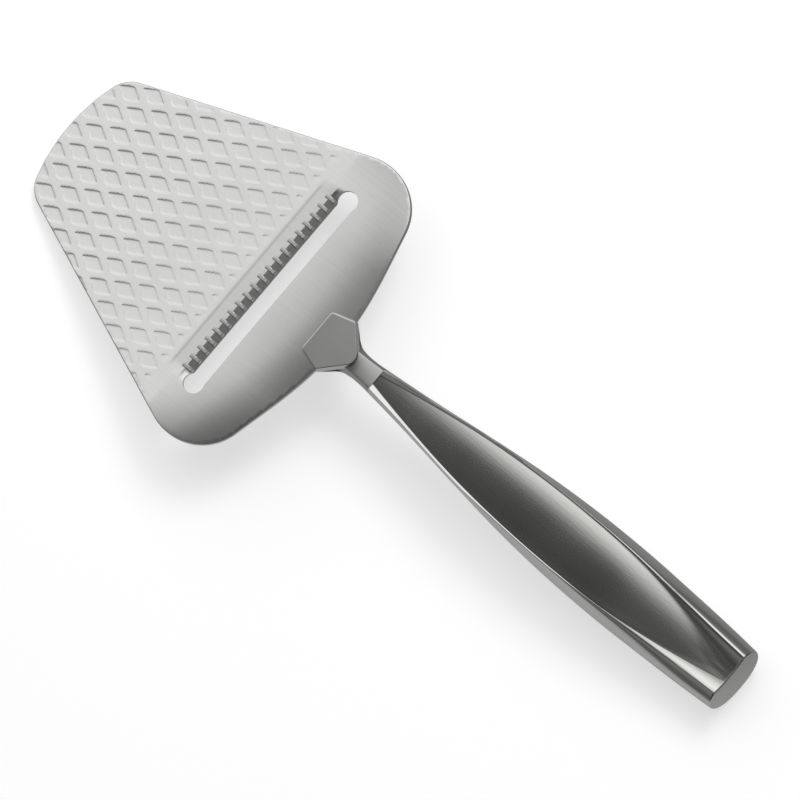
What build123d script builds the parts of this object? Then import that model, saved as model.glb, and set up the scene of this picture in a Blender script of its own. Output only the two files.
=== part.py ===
from build123d import *
from math import asin, atan, cos, degrees, hypot, radians, sin, sqrt, tan
import os

# Cheese slicer in stainless steel: a pressed blade held by a cast neck on a hollow, leaf-topped handle.
# +X points from the handle's end to the blade's front, +Y to the user's left hand, +Z up.
# The origin is on the table, under the middle of the outer box, as the slicer lies with both ends down.

# Whole object
overall_length = 233.0
overrun = 3.0
cut_depth = 24.0

# Blade sheet
sheet = 1.1
blade_slope = 10.5
blade_length = 98.2
flat_length = 69.0
front_radius = 50.0
front_half_width = 19.55
wing_half_width = 50.2
wing_reach = 88.7
back_bow = 1.2
front_corner_radius = 9.0
wing_corner_radius = 15.0
back_droop = 2.3
side_droop = 2.0
side_flat_half_width = 22.0
side_droop_half_width = 44.0
section_steps = 8
dome_steps = 6

# Slot and its cutting lip
slot_reach = 74.9
slot_half_span = 30.87
slot_end_radius = 2.95
slot_back_offset = 2.7
lip_reach = 66.4
lip_length = 6.55
lip_angle = 6.0
bevel_length = 2.5
bevel_angle = 21.0
edge_thickness = 0.3
lip_half_span = 28.6
lip_end_half_span = 33.0
rib_count = 20
rib_pitch = 3.03
rib_half_width = 0.45
rib_rise = 0.25
rib_root = 0.8
rib_top_share = 0.5
rib_length = 3.2
rib_edge_gap = 0.45

# Pressed diamonds
diamond_pitch_along = 11.87
diamond_pitch_across = 6.8
diamond_share = 0.60
diamond_depth = 0.25
diamond_draft = 35.0
diamond_start = 1.43
diamond_rows = 11
diamond_columns = 8

# Neck casting
pad_reach = 98.35
pad_slope = 2.0
pad_front = 7.2
pad_front_half_width = 6.4
pad_half_width = 8.5
pad_tail = 8.0
pad_rise = 1.5
pad_drop = 2.2
pad_draft = 14.0
pad_front_radius = 1.4
pad_side_radius = 0.9
pad_tail_radius = 3.4
neck_drop = 0.5
spigot_length = 20.0
spigot_width = 4.6
spigot_height = 4.2
spigot_fit = 0.1

# Handle
handle_front = 5.9
handle_height = 14.5
handle_half_width = 11.05
handle_crest = 5.6
handle_depth = 8.6
end_depth = 6.9
end_lean = 14.0
leaf_radius = 45.0
channel_depth_share = 0.2
shell_wall = 1.2
cap_thickness = 1.6
cap_lip_length = 3.0
cap_lip_wall = 1.0
cap_fit = 0.1

# Shapes along the handle, as shares of its length, half width, crest height and depth
station_shares = (0.0, 0.12, 0.26, 0.40, 0.54, 0.68, 0.80, 0.90, 1.02)
width_shares = (0.353, 0.498, 0.70, 0.878, 0.98, 1.0, 0.96, 0.912, 0.815)
ridge_shares = (0.276, 0.443, 0.66, 0.765, 0.796, 0.769, 0.67, 0.588, 0.525)
leaf_shares = (0.127, 0.38, 0.615, 0.742, 0.778, 0.733, 0.561, 0.353, 0.06)
crest_shares = (0.607, 0.70, 0.857, 0.964, 1.0, 0.946, 0.857, 0.786, 0.70)
depth_shares = (0.453, 0.558, 0.733, 0.884, 0.977, 1.0, 0.919, 0.849, 0.797)

# Shapes along the neck, as shares of its length and of the handle's first section
neck_shares = (0.0, 0.25, 0.5, 0.64, 0.74, 0.84, 1.0)
neck_width_shares = (1.0, 0.93, 0.96, 1.08, 1.31, 1.64, 2.12)
neck_ridge_shares = (1.0, 0.92, 0.90, 0.90, 0.90, 0.90, 0.90)
neck_crest_shares = (1.0, 0.86, 0.74, 0.72, 0.70, 0.64, 0.45)
neck_depth_shares = (1.0, 0.91, 0.83, 0.77, 0.72, 0.65, 0.45)
neck_flank_shares = (0.63, 0.60, 0.53, 0.46, 0.42, 0.40, 0.38)
neck_camber_share = 0.06

# The handle's underside across it: where its three arcs join and where the side arc passes, as shares of
# the half width and of the depth
belly_side_shares = (1.0, 0.93, 0.62)
belly_depth_shares = (0.0, 0.45, 0.84)

# The plain hollow inside the shells: its corners as shares of its half width and of its height
hollow_side_shares = (1.0, 0.84, 0.42)
hollow_height_shares = (0.0, 0.62, 0.94)

# Places worked out from the sizes
blade_place = Location((overall_length / 2, 0, sheet * cos(radians(blade_slope))), (0, blade_slope, 0))
handle_run = overall_length / 2 + handle_front
handle_fall = degrees(atan((handle_height - end_depth) / handle_run))
handle_length = hypot(handle_run, handle_height - end_depth)
handle_place = Location((handle_front, 0, handle_height), (0, -handle_fall, 0))
end_place = Location((-overall_length / 2, 0, 0), (0, end_lean, 0))


def droop(reach, side):
    """How far the sheet has bent down: a parabola behind the flat part, fuller towards the wings."""
    back = max(0.0, reach - flat_length) / (blade_length - flat_length)
    wing = max(0.0, abs(side) - side_flat_half_width) / (side_droop_half_width - side_flat_half_width)
    return back_droop * back**2 + side_droop * min(1.0, back) * wing**2


def on_blade(reach, side, height=0.0):
    """A point of the blade from its reach behind the front edge, its side and its height over the flat."""
    return (blade_place * Pos(-reach, side, height)).position


def sheet_section(reach):
    """The sheet cut across at one reach, wider than the blade: its top follows the droop."""
    half = wing_half_width + overrun
    sides = [half * step / section_steps for step in range(-section_steps, section_steps + 1)]
    top = [Vector(-reach, side, -droop(reach, side)) for side in sides]
    under = [point - Vector(0, 0, sheet) for point in reversed(top)]
    return Wire([
        Edge.make_spline(top),
        Edge.make_line(top[-1], under[0]),
        Edge.make_spline(under),
        Edge.make_line(under[-1], top[0]),
    ])


def sheet_blank():
    """The pressed blank before it is trimmed: a flat plate that runs on into the domed back."""
    half = wing_half_width + overrun
    flat = Pos(-flat_length / 2 + overrun / 2, 0, -sheet / 2) * Box(flat_length + overrun, 2 * half, sheet)
    dome_length = blade_length - flat_length
    reaches = [flat_length + dome_length * step / dome_steps for step in range(dome_steps + 2)]
    dome = Solid.make_loft([sheet_section(reach) for reach in reaches])
    return flat + dome


def blade_outline():
    """The blade's plan: a bowed front, straight flaring sides, round wings and a bowed back."""
    front_sag = front_radius - sqrt(front_radius**2 - front_half_width**2)
    front = ThreePointArc((-front_sag, -front_half_width), (0, 0), (-front_sag, front_half_width))
    left = Line((-front_sag, front_half_width), (-wing_reach, wing_half_width))
    middle = (wing_reach + blade_length) / 2 + back_bow
    back = Spline(
        (-wing_reach, wing_half_width), (-middle, wing_half_width / 2), (-blade_length, 0),
        (-middle, -wing_half_width / 2), (-wing_reach, -wing_half_width),
    )
    right = Line((-wing_reach, -wing_half_width), (-front_sag, -front_half_width))
    plan = make_face([front, left, back, right])
    plan = fillet(plan.vertices().sort_by(Axis.X)[-2:], front_corner_radius)
    return fillet(plan.vertices().sort_by(Axis.X)[:2], wing_corner_radius)


def lip_section(side, bend):
    """The lip's section at one side: bend 0 lies in the sheet, bend 1 slopes down to a ground edge."""
    slope = radians(lip_angle * bend)
    ground = radians((lip_angle + bevel_angle) * bend)
    body = lip_length - bevel_length
    knee = (lip_reach + body * cos(slope), -body * sin(slope))
    tip = (knee[0] + bevel_length * cos(ground), knee[1] - bevel_length * sin(ground))
    under = sheet + (edge_thickness - sheet) * bend
    base = (lip_reach - sheet * tan(slope / 2), -sheet)
    points = [(lip_reach - sheet, 0), (lip_reach, 0), knee, tip, (tip[0], tip[1] - under), base]
    points.append((lip_reach - sheet, -sheet))
    return Wire.make_polygon([Vector(-x, side, z) for x, z in points])


def lip():
    """The cutting lip, pressed down between the slot's end holes and twisted back into the sheet."""
    sides = (-lip_end_half_span, -lip_half_span, lip_half_span, lip_end_half_span)
    bends = (0.0, 1.0, 1.0, 0.0)
    return Solid.make_loft([lip_section(side, bend) for side, bend in zip(sides, bends)], ruled=True)


def lip_rib(side):
    """One small rib that runs square to the cutting edge, standing proud of the lip."""
    end = lip_length - rib_edge_gap
    middle = end - rib_length / 2
    place = Location((-lip_reach, side, 0), (0, -lip_angle, 0)) * Pos(-middle, 0, 0)
    flank = rib_half_width * rib_top_share
    profile = Polyline(
        (-rib_half_width, -rib_root), (-rib_half_width, 0), (-flank, rib_rise), (flank, rib_rise),
        (rib_half_width, 0), (rib_half_width, -rib_root), close=True,
    )
    return place * extrude(Plane.YZ * make_face(profile), amount=rib_length / 2, both=True)


def slot_cutter():
    """The slot behind the lip with its two end holes, cut right through the sheet."""
    sides = (-slot_half_span, slot_half_span)
    holes = [Pos(-slot_reach, side, 0) * Cylinder(slot_end_radius, cut_depth) for side in sides]
    length = slot_reach + slot_back_offset - lip_reach
    gap = Pos(-lip_reach - length / 2, 0, 0) * Box(length, 2 * slot_half_span, cut_depth)
    return holes, gap


def diamond_places():
    """Centres of the pressed diamonds, in rows of a rhombic lattice that the blade's edge cuts off."""
    places = []
    for row in range(diamond_rows):
        reach = diamond_start + diamond_pitch_along * row / 2
        rim = front_half_width + (wing_half_width - front_half_width) * reach / wing_reach
        for column in range(-diamond_columns, diamond_columns + 1):
            side = diamond_pitch_across * (column + (row % 2) / 2)
            if abs(side) < rim:
                places.append((reach, side))
    return places


def diamond(reach, side):
    """One shallow lozenge pocket, long way along the slicer, its walls sloping in."""
    along = diamond_pitch_along * diamond_share / 2
    across = diamond_pitch_across * diamond_share / 2
    face = make_face(Polyline((along, 0), (0, across), (-along, 0), (0, -across), close=True))
    pocket = extrude(Pos(0, 0, -diamond_depth) * face, amount=2 * diamond_depth, taper=-diamond_draft)
    return Pos(-reach, side, 0) * pocket


def slicing_blade():
    """The whole blade: trimmed sheet, lip, ribs, slot and diamonds, set at its slope."""
    plan = Pos(0, 0, -cut_depth / 2) * blade_outline()
    body = sheet_blank() & extrude(plan, amount=cut_depth)
    holes, gap = slot_cutter()
    seat = Pos(-lip_reach - lip_length / 2, 0, 0) * Box(lip_length, 2 * lip_end_half_span, cut_depth)
    ribs = [lip_rib(rib_pitch * (i - (rib_count - 1) / 2)) for i in range(rib_count)]
    body = body - seat - gap + lip() + ribs - holes
    body = body - [diamond(reach, side) for reach, side in diamond_places()]
    return blade_place * body


def pad_outline():
    """The pad's plan in its own frame: a blunt front, two swelling sides and a rounded tail."""
    points = [
        (pad_front, -pad_front_half_width), (pad_front, pad_front_half_width), (0, pad_half_width),
        (-pad_tail, 0), (0, -pad_half_width),
    ]
    face = make_face(Polyline(*points, close=True))
    face = fillet(face.vertices().sort_by(Axis.X)[:1], pad_tail_radius)
    face = fillet(face.vertices().sort_by(Axis.X)[-2:], pad_front_radius)
    corners = face.vertices().sort_by(Axis.Y)
    return fillet([corners[0], corners[-1]], pad_side_radius)


def neck_section(row):
    """A section across the neck: the handle's own first section, which flares out low under the pads."""
    share = neck_shares[row]
    half = handle_half_width * width_shares[0] * neck_width_shares[row]
    ridge = handle_half_width * ridge_shares[0] * neck_ridge_shares[row]
    crest = handle_crest * crest_shares[0] * neck_crest_shares[row]
    depth = handle_depth * depth_shares[0] * neck_depth_shares[row]
    clasp = pad_place().position
    reach = handle_front + (clasp.X - handle_front) * share
    clasp_height = clasp.Z - sheet / 2 - neck_drop * (1 - share)
    height = handle_height + (clasp_height - handle_height) * share**3
    place = Location((reach, 0, height), (0, -handle_fall * (1 - share), 0))
    flank = (ridge + (half - ridge) * neck_flank_shares[row], crest * neck_flank_shares[row])
    points = [(-half, 0), (-flank[0], flank[1]), (-ridge, crest), (0, crest + neck_camber_share * ridge)]
    points += [(ridge, crest), flank, (half, 0), (0, -depth), (-half, 0)]
    return Wire(arcs(points, place))


def pad_place():
    """Where the pads' widest line meets the blade's top."""
    at = on_blade(pad_reach, 0, -droop(blade_length, 0))
    return Location(at, (0, pad_slope, 0))


def neck_casting(blade):
    """Two pads that clasp the blade, the neck behind them and the spigot inside the handle."""
    plan = pad_outline()
    rise = pad_rise + sheet / 2
    drop = pad_drop + sheet / 2
    upper = extrude(Pos(0, 0, pad_rise) * plan, amount=-rise, taper=-pad_draft)
    lower = extrude(Pos(0, 0, -sheet - pad_drop) * plan, amount=drop, taper=-pad_draft)
    neck = Solid.make_loft([neck_section(row) for row in range(len(neck_shares))])
    spigot = handle_place * Pos(-spigot_length / 2 + overrun / 2, 0, 0)
    spigot = spigot * Box(spigot_length + overrun, spigot_width, spigot_height)
    body = pad_place() * (upper + lower) + neck
    body = body - behind_plane(handle_place)
    return body + spigot - blade


def behind_plane(place):
    """A block that holds everything behind the plane at a place, towards the handle's end."""
    return place * Pos(-overall_length / 2, 0, 0) * Box(overall_length, overall_length, overall_length)


def arcs(points, place):
    """Arcs end to end across the slicer, each through the next three points (side, height) at a place."""
    spots = [(place * Pos(0, side, height)).position for side, height in points]
    return [Edge.make_three_point_arc(*spots[i:i + 3]) for i in range(0, len(spots) - 2, 2)]


def shoulder_middle(half, ridge, crest):
    """The point halfway round a shoulder, an arc that stands upright at the widest line."""
    radius = ((half - ridge) ** 2 + crest**2) / (2 * (half - ridge))
    turn = asin(crest / radius) / 2
    return half - radius * (1 - cos(turn)), radius * sin(turn)


def channel_height(side, ridge, crest):
    """Height of the hollow between the two ridges, a shallow parabola."""
    return crest - channel_depth_share * ridge * (1 - (side / ridge) ** 2)


def handle_station(row):
    """Where one station lies, with its half width, ridge, leaf, crest, the leaf's crown and the depth."""
    place = Pos(-handle_length * station_shares[row], 0, 0)
    half = handle_half_width * width_shares[row]
    ridge = handle_half_width * ridge_shares[row]
    leaf = handle_half_width * leaf_shares[row]
    crest = handle_crest * crest_shares[row]
    crown = channel_height(leaf, ridge, crest) + leaf**2 / (2 * leaf_radius)
    return place, half, ridge, leaf, crest, crown, handle_depth * depth_shares[row]


def top_section(row):
    """The upper shell's section: round shoulders, two ridges, the hollow and the crowned leaf in it."""
    place, half, ridge, leaf, crest, crown, _ = handle_station(row)
    between = (leaf + ridge) / 2
    dip = channel_height(between, ridge, crest)
    bulge, lift = shoulder_middle(half, ridge, crest)
    points = [(half, 0), (bulge, lift), (ridge, crest), (between, dip)]
    points += [(leaf, channel_height(leaf, ridge, crest)), (0, crown)]
    points += [(-side, height) for side, height in reversed(points[:5])]
    return closed(arcs(points, place))


def belly_section(row):
    """The under shell's section, fuller than an ellipse."""
    place, half, _, _, _, _, depth = handle_station(row)
    points = [(side * half, share * -depth) for side, share in zip(belly_side_shares, belly_depth_shares)]
    points += [(0, -depth)] + [(-side, height) for side, height in reversed(points)]
    return closed(arcs(points, place))


def hollow_section(row, inset, upwards):
    """The hollow's plain section, above or below the parting, drawn in by an inset."""
    place, half, _, _, _, crown, depth = handle_station(row)
    wide = half - inset
    tall = crown - inset if upwards else inset - depth
    points = [(side * wide, share * tall) for side, share in zip(hollow_side_shares, hollow_height_shares)]
    points += [(-side, height) for side, height in reversed(points)]
    spots = [(place * Pos(0, side, height)).position for side, height in points]
    return Wire.make_polygon(spots)


def closed(edges):
    """A wire made of a row of edges and the straight line back to their start."""
    return Wire(edges + [Edge.make_line(edges[-1] @ 1, edges[0] @ 0)])


def cavity(inset, upwards):
    """The hollow inside a shell, from the second station to the handle's end."""
    rows = range(1, len(station_shares))
    return Solid.make_loft([hollow_section(row, inset, upwards) for row in rows], ruled=True)


def handle_pieces():
    """Both shells of the handle and its end cap."""
    rows = range(len(station_shares))
    top = Solid.make_loft([top_section(row) for row in rows])
    under = Solid.make_loft([belly_section(row) for row in rows], ruled=True)
    cap_plane = end_place * Pos(cap_thickness, 0, 0)
    lip_plane = end_place * Pos(cap_thickness + cap_lip_length, 0, 0)
    socket = Pos(-spigot_length / 2, 0, 0) * Box(
        spigot_length + 2 * spigot_fit, spigot_width + 2 * spigot_fit, spigot_height + 2 * spigot_fit)
    hollow_top = cavity(shell_wall, True)
    hollow_under = cavity(shell_wall, False)
    shell_top = handle_place * (top - hollow_top - socket) - behind_plane(cap_plane)
    shell_under = handle_place * (under - hollow_under - socket) - behind_plane(cap_plane)
    plate = (handle_place * (top + under) & behind_plane(cap_plane)) - behind_plane(end_place)
    plug = cavity(shell_wall + cap_fit, True) + cavity(shell_wall + cap_fit, False)
    hollow = shell_wall + cap_fit + cap_lip_wall
    core = cavity(hollow, True) + cavity(hollow, False)
    ring = (handle_place * (plug - core) & behind_plane(lip_plane)) - behind_plane(cap_plane)
    return shell_top, shell_under, plate + ring


def main():
    blade = slicing_blade()
    shell_top, shell_under, cap = handle_pieces()
    neck = neck_casting(blade)
    pieces = {
        "slicing_blade": blade,
        "cast_neck": neck,
        "handle_top_shell": shell_top,
        "handle_under_shell": shell_under,
        "handle_end_cap": cap,
    }
    os.makedirs("parts", exist_ok=True)
    boxes = [piece.bounding_box() for piece in pieces.values()]
    middle = (min(box.min.X for box in boxes) + max(box.max.X for box in boxes)) / 2
    rest = Pos(-middle, 0, -min(box.min.Z for box in boxes))
    for name, piece in pieces.items():
        placed = rest * piece
        export_step(placed, f"parts/{name}.step")
        size = placed.bounding_box().size
        print(name, "solids", len(placed.solids()), "volume", round(placed.volume, 1), "size", size)


main()
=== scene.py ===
# %% [markdown]
# # A stainless steel cheese slicer
# The slicer is three made things in one: a pressed blade, a hollow handle, and a small casting that
# joins them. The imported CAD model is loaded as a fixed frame, and every lasting size comes from it.
# The pieces below take the place of its five solids and give them the coined, ground and polished
# surfaces of the real tool. Each one is a surface with a formula, worked out with numpy, so that
# every crease and curve has a name and can be changed.

# %% Load the frame
import bpy
import numpy as np
from mathutils.geometry import delaunay_2d_cdt
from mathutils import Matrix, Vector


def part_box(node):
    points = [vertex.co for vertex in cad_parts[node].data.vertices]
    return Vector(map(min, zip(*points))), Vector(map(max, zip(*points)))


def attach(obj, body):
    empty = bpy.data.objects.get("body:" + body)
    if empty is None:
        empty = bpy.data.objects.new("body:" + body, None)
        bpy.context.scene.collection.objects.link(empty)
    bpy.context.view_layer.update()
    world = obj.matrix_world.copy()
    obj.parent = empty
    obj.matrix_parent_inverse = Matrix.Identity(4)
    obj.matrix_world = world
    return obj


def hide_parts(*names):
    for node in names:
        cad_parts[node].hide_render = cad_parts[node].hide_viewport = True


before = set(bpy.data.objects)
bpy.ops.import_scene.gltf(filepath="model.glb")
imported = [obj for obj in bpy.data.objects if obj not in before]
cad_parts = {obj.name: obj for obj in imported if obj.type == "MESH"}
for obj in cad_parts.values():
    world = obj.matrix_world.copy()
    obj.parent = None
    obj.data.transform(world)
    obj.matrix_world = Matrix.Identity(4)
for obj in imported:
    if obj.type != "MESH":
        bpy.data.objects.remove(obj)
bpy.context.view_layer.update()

# %% [markdown]
# ## Sizes
# The slicer lies on a table with the front edge of the blade and the end of the handle down, so the
# blade slopes up towards the handle. Sizes on the blade are measured along the sheet: reach is how
# far back a point lies from the front edge, side is how far it lies from the middle, and height is
# measured square to the flat of the sheet. All are in millimetres, and angles are in radians.

# %% Sizes of the blade
sheet, slope = 1.1, np.radians(10.5)
blade_length, flat_length = 98.2, 69.0
back_droop, side_droop = 2.3, 2.0
front_radius, front_half_width = 50.0, 19.55
wing_reach, wing_half_width = 88.7, 50.2
rear_sweep, rear_flare = 15.766, 6.267
front_round, wing_round, rim = 9.0, 15.0, 0.3
overall_length = 233.0
nose_x, rest_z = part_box("slicing_blade")[1].x * 1000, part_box("slicing_blade")[0].z * 1000
print("front edge of the blade at x", round(nose_x, 3), "and its foot at z", round(rest_z, 3))

# %% Sizes of the slot, the lip and its ribs
slot_reach, slot_half_span, slot_end_radius, slot_back = 74.9, 30.87, 2.95, 77.6
lip_reach, lip_length, bevel_length = 66.4, 6.55, 2.5
lip_angle, ground_angle = np.radians(3.2), np.radians(27.0)
rib_count, rib_pitch, rib_length, rib_height, rib_gap = 20, 3.03, 3.3, 0.36, 0.5
knee_reach = lip_reach + (lip_length - bevel_length) * np.cos(lip_angle)
edge_reach = knee_reach + bevel_length * np.cos(ground_angle)
print("the lip is bent at reach", lip_reach, "and ground from reach", round(knee_reach, 2))

# %% [markdown]
# ## Small helpers
# Four things are needed all the time: a step with soft ends, the way from the blade's own measures
# to the shared frame, a mesh from whole arrays of points, and the quads of a skin whose rows are
# closed rings. The quads are listed in the order that turns their fronts outwards, so no mesh has
# to be turned round afterwards.

# %% A soft step and the blade's place
def smoothstep(t):
    """3t^2 - 2t^3 between 0 and 1, flat outside."""
    t = np.clip(t, 0.0, 1.0)
    return t * t * (3 - 2 * t)


def blade_to_world(reach, side, height):
    """Reach runs back and up the slope, height is square to it, and side stays as it is."""
    x = nose_x - reach * np.cos(slope) + height * np.sin(slope)
    z = rest_z + sheet * np.cos(slope) + reach * np.sin(slope) + height * np.cos(slope)
    return np.stack([x, side + 0 * x, z], axis=-1)


print("the blade's top starts at", blade_to_world(0.0, 0.0, 0.0).round(2), "mm")

# %% A mesh and its quads
def make_piece(name, points, faces, sharp_degrees):
    """A mesh object from points in millimetres; edges over the angle are sharp, the rest are smooth."""
    mesh = bpy.data.meshes.new(name)
    mesh.from_pydata((np.asarray(points) / 1000).tolist(), [], faces)
    mesh.validate()
    mesh.shade_smooth()
    mesh.set_sharp_from_angle(angle=np.radians(sharp_degrees))
    obj = bpy.data.objects.new(name, mesh)
    bpy.context.scene.collection.objects.link(obj)
    return obj


def ring_faces(rows, columns):
    """Quads over a grid of points that is numbered row by row, with each row closed into a ring."""
    i, j = np.meshgrid(np.arange(rows - 1), np.arange(columns), indexing="ij")
    k = (j + 1) % columns
    quads = np.stack([i * columns + j, (i + 1) * columns + j, (i + 1) * columns + k, i * columns + k], -1)
    return quads.reshape(-1, 4).tolist()


print("two rings of three points make", ring_faces(2, 3))

# %% [markdown]
# ## The plan of the blade
# The real blade is cut from one sheet. Its outline is a wide arc at the front, straight sides that
# spread towards the wings, and a rear edge like a shallow bow. Round corners join them. Each corner
# is found as it is on a drawing board: a circle slides along the straight side until it touches the
# next curve. A slot with round ends is punched behind the cutting edge.

# %% Arcs, and circles that touch a curve
def arc(centre, radius, start, end, count):
    """Points on a circle from one angle to another."""
    a = np.linspace(start, end, count)
    return centre + radius * np.stack([np.cos(a), np.sin(a)], -1)


def angle_to(centre, point):
    """The angle at which a centre sees a point."""
    return np.arctan2(point[1] - centre[1], point[0] - centre[0])


def tangent_circle(path, radius, curve):
    """Where a circle's centre sits when it slides along a path and first touches a curve."""
    gap = np.min(np.linalg.norm(path[:, None] - curve[None], axis=2), axis=1) - radius
    k = np.argmax(gap < 0)
    share = gap[k - 1] / (gap[k - 1] - gap[k])
    return path[k - 1] + share * (path[k] - path[k - 1])


print("a quarter of a unit circle ends at", arc(np.zeros(2), 1.0, 0.0, np.pi / 2, 5)[-1].round(3))

# %% The outline
outline_step = 0.55
rear_count, front_count, side_count = 2000, 1500, 4000
nose_points, straight_points, wing_points = 60, 200, 80
front_turn = 0.5


def rear_edge(side):
    """Reach of the rear edge: the full length less a parabola, which flattens towards the wings."""
    u = side / wing_half_width
    return blade_length - (rear_sweep * u**2 - rear_flare * u**4)


def evenly(path, step):
    """The same path with its points at equal steps along it."""
    length = np.concatenate([[0], np.cumsum(np.linalg.norm(np.diff(path, axis=0), axis=1))])
    even = np.linspace(0, length[-1], int(length[-1] / step) + 1)
    return np.stack([np.interp(even, length, path[:, 0]), np.interp(even, length, path[:, 1])], -1)


def mirrored(half):
    """Half an outline that starts and ends on the middle line, and its mirror image."""
    return np.concatenate([half, (half[1:-1] * [1, -1])[::-1]])


def blade_plan():
    """Front arc, front corner, straight side, wing corner and rear edge, and the same on the right."""
    nose_centre = np.array([front_radius, 0.0])
    sag = front_radius - np.sqrt(front_radius**2 - front_half_width**2)
    nose, wing = np.array([sag, front_half_width]), np.array([wing_reach, wing_half_width])
    side_run = (wing - nose) / np.linalg.norm(wing - nose)
    inward = np.array([side_run[1], -side_run[0]])
    side = np.linspace(wing_half_width + 1, 0, rear_count)
    rear = np.stack([rear_edge(side), side], -1)
    front = arc(nose_centre, front_radius, np.pi, np.pi - front_turn, front_count)
    share = np.linspace(0, 1, side_count)[:, None]
    low = tangent_circle((wing + (nose - wing) * share + inward * front_round), front_round, front)
    high = tangent_circle((nose + (wing - nose) * share + inward * wing_round), wing_round, rear)
    touch = rear[np.argmin(np.linalg.norm(rear - high, axis=1))]
    first = nose_centre + (low - nose_centre) / np.linalg.norm(low - nose_centre) * front_radius
    side_angle = angle_to([0, 0], -inward)
    half = evenly(np.concatenate([
        arc(nose_centre, front_radius, np.pi, angle_to(nose_centre, first), nose_points),
        arc(low, front_round, angle_to(low, first), side_angle, nose_points),
        np.linspace(low - inward * front_round, high - inward * wing_round, straight_points),
        arc(high, wing_round, side_angle, angle_to(high, touch), wing_points),
        rear[rear[:, 1] < touch[1]],
    ]), outline_step)
    half[0, 1] = half[-1, 1] = 0.0
    return mirrored(half)


outline = blade_plan()
print("blade plan:", len(outline), "points, half width", outline[:, 1].max().round(2))

# %% The slot
hole_points, back_points, edge_points = 34, 60, 150


def slot_plan():
    """The slot's outline: straight back, round ends that swing past the lip, and the cutting edge."""
    behind, ahead = slot_back - slot_reach, slot_reach - edge_reach
    start = np.arctan2(-np.sqrt(slot_end_radius**2 - behind**2), behind)
    end = np.pi + np.arctan2(np.sqrt(slot_end_radius**2 - ahead**2), ahead)
    hole = arc(np.array([slot_reach, slot_half_span]), slot_end_radius, start, end, hole_points)
    back = np.linspace([slot_back, 0.0], hole[0], back_points)[:-1]
    tip = np.linspace(hole[-1], [edge_reach, 0.0], edge_points)[1:]
    return mirrored(np.concatenate([back, hole, tip]))


slot = slot_plan()
print("slot:", len(slot), "points, half length", slot[:, 1].max().round(2))

# %% [markdown]
# ## The heights of the blade
# The press shapes the flat sheet: it coins rows of diamonds into the front, bows the back down into
# a shallow dome, and bends the lip before the slot, which is then ground sharp. The blade could be
# sculpted, but two height fields over one plan, one for each side of the sheet, give every crease a
# formula. The pieces of the formula follow one by one.

# %% The diamonds
pitch_along, pitch_across, lattice_start, last_row = 11.87, 6.8, 13.3, 8
pocket_half, pocket_wall, pocket_depth, pocket_bowl = 0.32, 0.026, 0.105, 0.012
squareness = 12
fade_start, fade_run, fade_share = 18, 44, 0.42
faint_reach, faint_run, faint_share = 65.2, 2.2, 0.6


def diamonds(reach, side):
    """Depth of the coined pockets. In shares of the lattice, u and v, a pocket is a square whose
    corners are a little round (a sum of high powers), with soft walls and a slightly bowled floor.
    The pockets get shallower towards the slot, and the row past the last one is only begun."""
    u = (reach - lattice_start) / pitch_along + side / pitch_across
    v = (reach - lattice_start) / pitch_along - side / pitch_across
    a, b = np.abs(u - np.round(u)), np.abs(v - np.round(v))
    out = (a**squareness + b**squareness) ** (1 / squareness)
    depth = pocket_depth * (1 - smoothstep((out - pocket_half + pocket_wall) / (2 * pocket_wall)))
    depth = depth + pocket_bowl * np.clip(1 - (out / pocket_half) ** 2, 0, 1)
    row = np.round(u) + np.round(v)
    faint = faint_share * smoothstep((faint_reach - reach) / faint_run) * (row == last_row + 1)
    fade = 1 - fade_share * smoothstep((reach - fade_start) / fade_run)
    return depth * ((row <= last_row) * fade + faint)


print("a pocket's middle is", diamonds(lattice_start, 0.0).round(3), "mm deep")

# %% The dome
wing_start, wing_run = 22.0, 22.0
roll_drop, roll_width = 0.30, 12.0


def droop(reach, side):
    """How far the sheet bows down: a parabola behind the flat part, another towards the wings, and
    a roll that grows with the square of the nearness to the rear edge."""
    back = np.clip((reach - flat_length) / (blade_length - flat_length), 0, None)
    wing = np.clip((np.abs(side) - wing_start) / wing_run, 0, None)
    to_rim = np.clip(rear_edge(np.abs(side)) - reach, 0, None)
    roll = roll_drop * np.clip(1 - to_rim / roll_width, 0, 1) ** 2
    return back_droop * back**2 + side_droop * np.minimum(1, back) * wing**2 + roll


print("the back's middle bows down by", droop(blade_length, 0.0).round(2), "mm")

# %% [markdown]
# ## The lip
# In front of the slot the sheet is bent down a few degrees and ground to a cutting edge, and small
# ribs square to the edge stiffen it. A bevel could cut the ground face, but a bend and a ground face
# are both creases, so one soft ramp makes either. A rib is a product of soft steps, one for its
# walls and one for each end, times its height.

# %% The lip and its ribs
bend_half_span, bend_soft = 33.0, 4.4
crease, ledge, ledge_width, knee_crease = 0.9, 0.055, 1.2, 0.12
rib_half_width, rib_wall, rib_fall, rib_start_soft, rib_tip_soft = 0.62, 0.20, 0.06, 0.25, 0.12


def ramp(t):
    """0 before -1, t after 1 and a parabola between, which makes a soft crease."""
    return np.where(t > 1, t, np.where(t < -1, 0, (t + 1) ** 2 / 4))


def lip_share(reach, side):
    """1 on the bent lip, 0 beside it and behind the slot."""
    return smoothstep((bend_half_span - np.abs(side)) / bend_soft) * (reach < slot_reach)


def rib_heights(reach, side, ground):
    """Ribs square to the edge: flat on top, level out over the ground slope, with soft walls and ends."""
    offset = side / rib_pitch + (rib_count - 1) / 2
    off = np.abs(offset - np.round(offset)) * rib_pitch
    near = (np.round(offset) >= 0) & (np.round(offset) < rib_count)
    tip = lip_reach + (lip_length - rib_gap) * np.cos(lip_angle)
    start = tip - rib_length * np.cos(lip_angle)
    ends = smoothstep((reach - start) / rib_start_soft) * smoothstep((tip - reach) / rib_tip_soft)
    tall = rib_height - rib_fall * (reach - start) + ground
    return near * ends * tall * smoothstep((rib_half_width - off) / rib_wall)


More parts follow.
